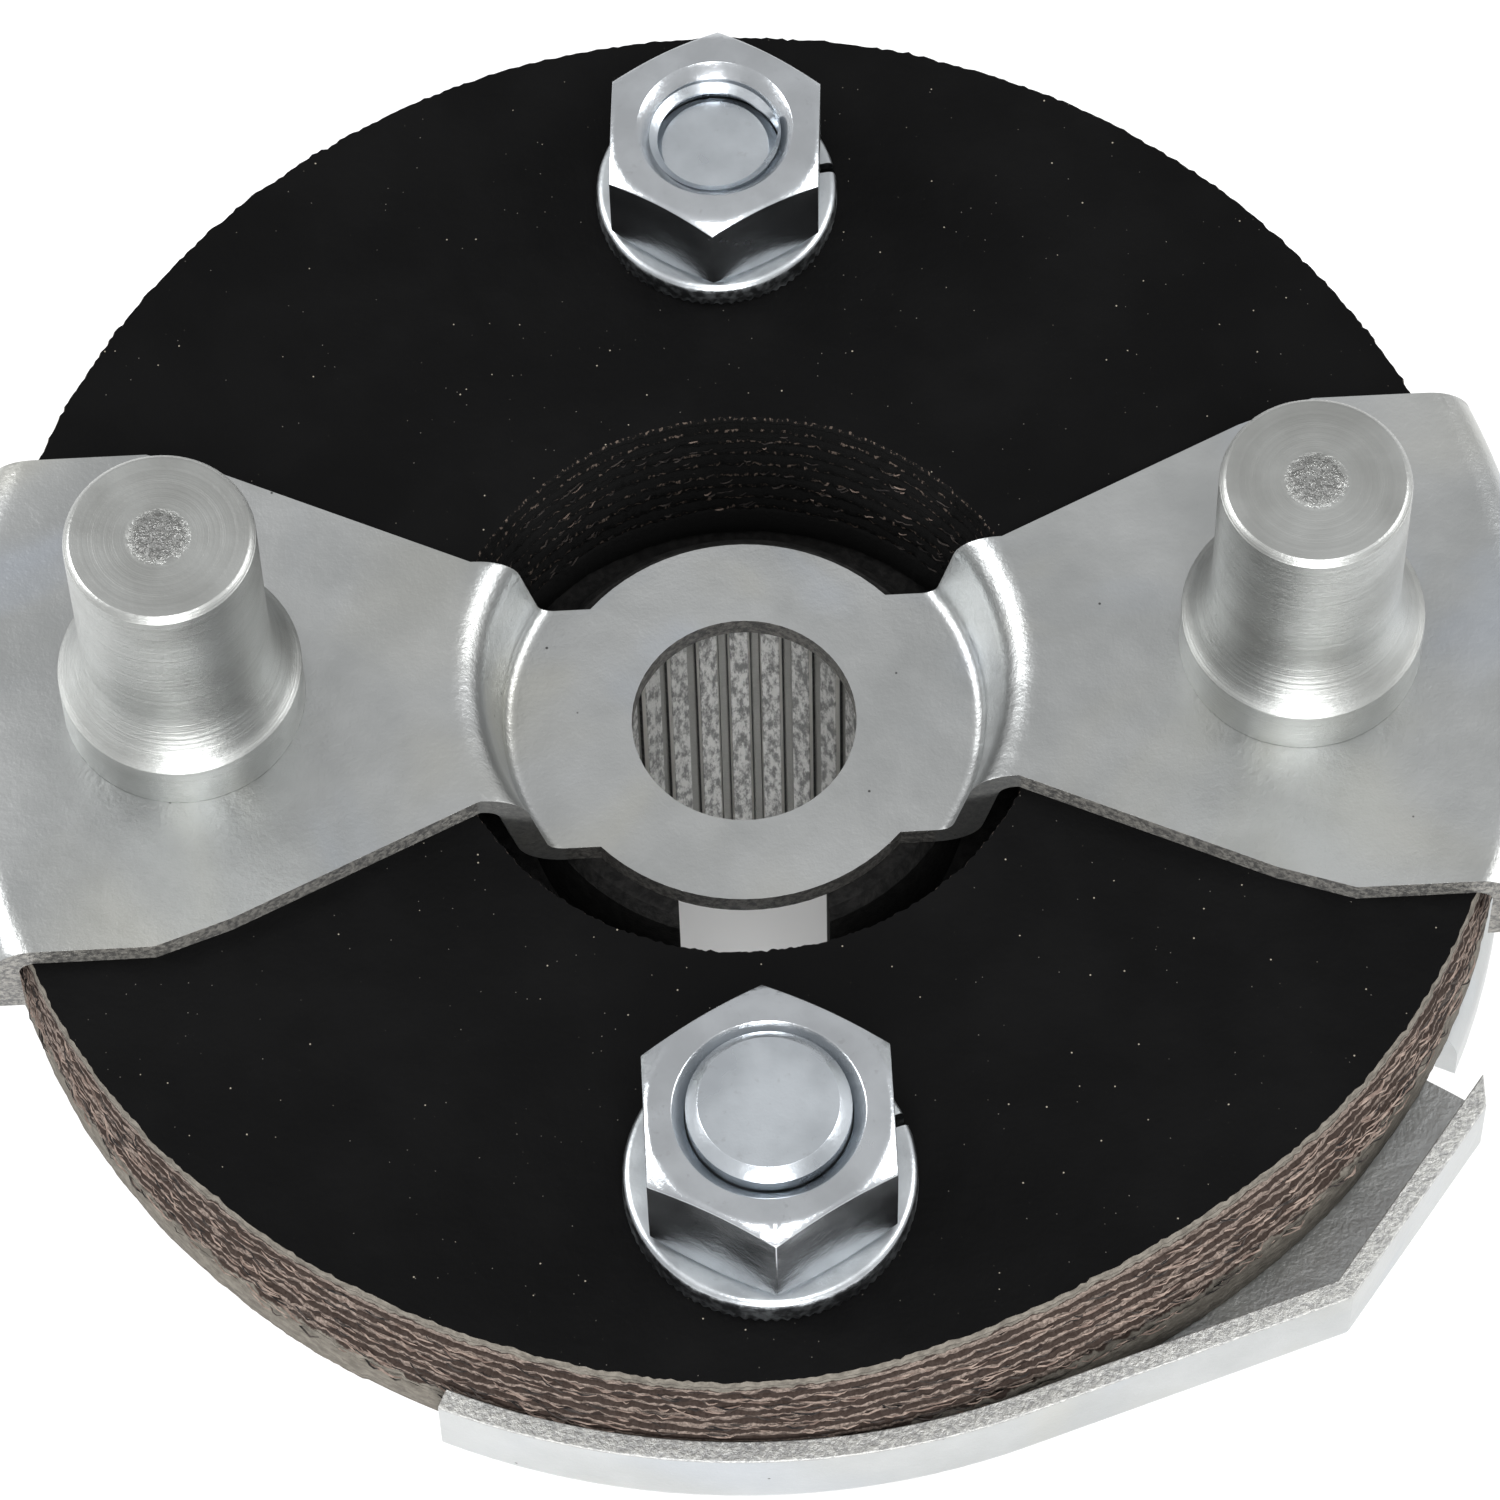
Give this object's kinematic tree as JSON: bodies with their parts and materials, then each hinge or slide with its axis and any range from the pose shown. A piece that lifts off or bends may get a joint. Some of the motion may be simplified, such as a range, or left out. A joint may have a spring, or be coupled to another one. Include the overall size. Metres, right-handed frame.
{
  "type": "flexible disc shaft coupling",
  "caption": "Steering shaft coupling: a splined clamp hub with stop pins, joined to flange bolts through a laminated rubber and fabric disc that flexes as the shafts misalign.",
  "frame": {"origin": "on the shaft axis at the lower end face of the splined hub, where the shaft enters", "axes": "+Z along the shaft axis from the hub towards the stop pins' free ends; +X through the right stop pin; -Y through the large bolt"},
  "size_m": [0.0962, 0.0927, 0.0632],
  "materials": {
    "rubber": "matte black moulded rubber with fine pale specks",
    "fabric": "frayed cut edge of rubberised cord fabric, pinkish brown between dark lines",
    "plated_sheet": "bright zinc plated stamped sheet, satin, faintly iridescent",
    "pin_steel": "turned and zinc plated, with fine lathe marks",
    "plated_fastener": "zinc plated cold formed steel, semi gloss",
    "spring_washer": "zinc plated spring steel, darker at the serrated edge",
    "hub_steel": "black phosphated forging with a bright broached bore"
  },
  "bodies": {
    "hub_side": {"splined_hub": "hub_steel", "hub_flange": "hub_steel", "lower_plate": "plated_sheet", "lower_plate_rim": "plated_sheet", "left_stop_pin": "pin_steel", "right_stop_pin": "pin_steel", "pin_plate": "plated_sheet", "pinch_bolt": "plated_fastener", "pinch_lock_washer": "spring_washer"},
    "disc": {"top_cover_rubber": "rubber", "fabric_ply_1": "fabric", "fabric_ply_2": "fabric", "fabric_ply_3": "fabric", "fabric_ply_4": "fabric", "fabric_ply_5": "fabric", "fabric_ply_6": "fabric", "fabric_ply_7": "fabric", "bottom_cover_rubber": "rubber"},
    "bolt_side": {"large_bolt": "plated_fastener", "small_bolt": "plated_fastener", "large_nut": "plated_fastener", "small_nut": "plated_fastener", "large_lock_washer": "spring_washer", "small_lock_washer": "spring_washer", "large_backing_washer": "plated_fastener", "small_backing_washer": "plated_fastener"}
  },
  "joints": [
    {"name": "disc_bend", "type": "hinge", "parent": "hub_side", "child": "disc", "pos_m": [0, 0, 0.03575], "axis": [1, 0, 0], "range_deg": [-1.5, 1.5], "stiffness_Nm_per_rad": 40, "deforming": ["top_cover_rubber", "fabric_ply_1", "fabric_ply_2", "fabric_ply_3", "fabric_ply_4", "fabric_ply_5", "fabric_ply_6", "fabric_ply_7", "bottom_cover_rubber"]},
    {"name": "bolt_tilt", "type": "hinge", "parent": "disc", "child": "bolt_side", "pos_m": [0, 0, 0.03575], "axis": [0, 1, 0], "range_deg": [-1.5, 1.5], "stiffness_Nm_per_rad": 40}
  ]
}
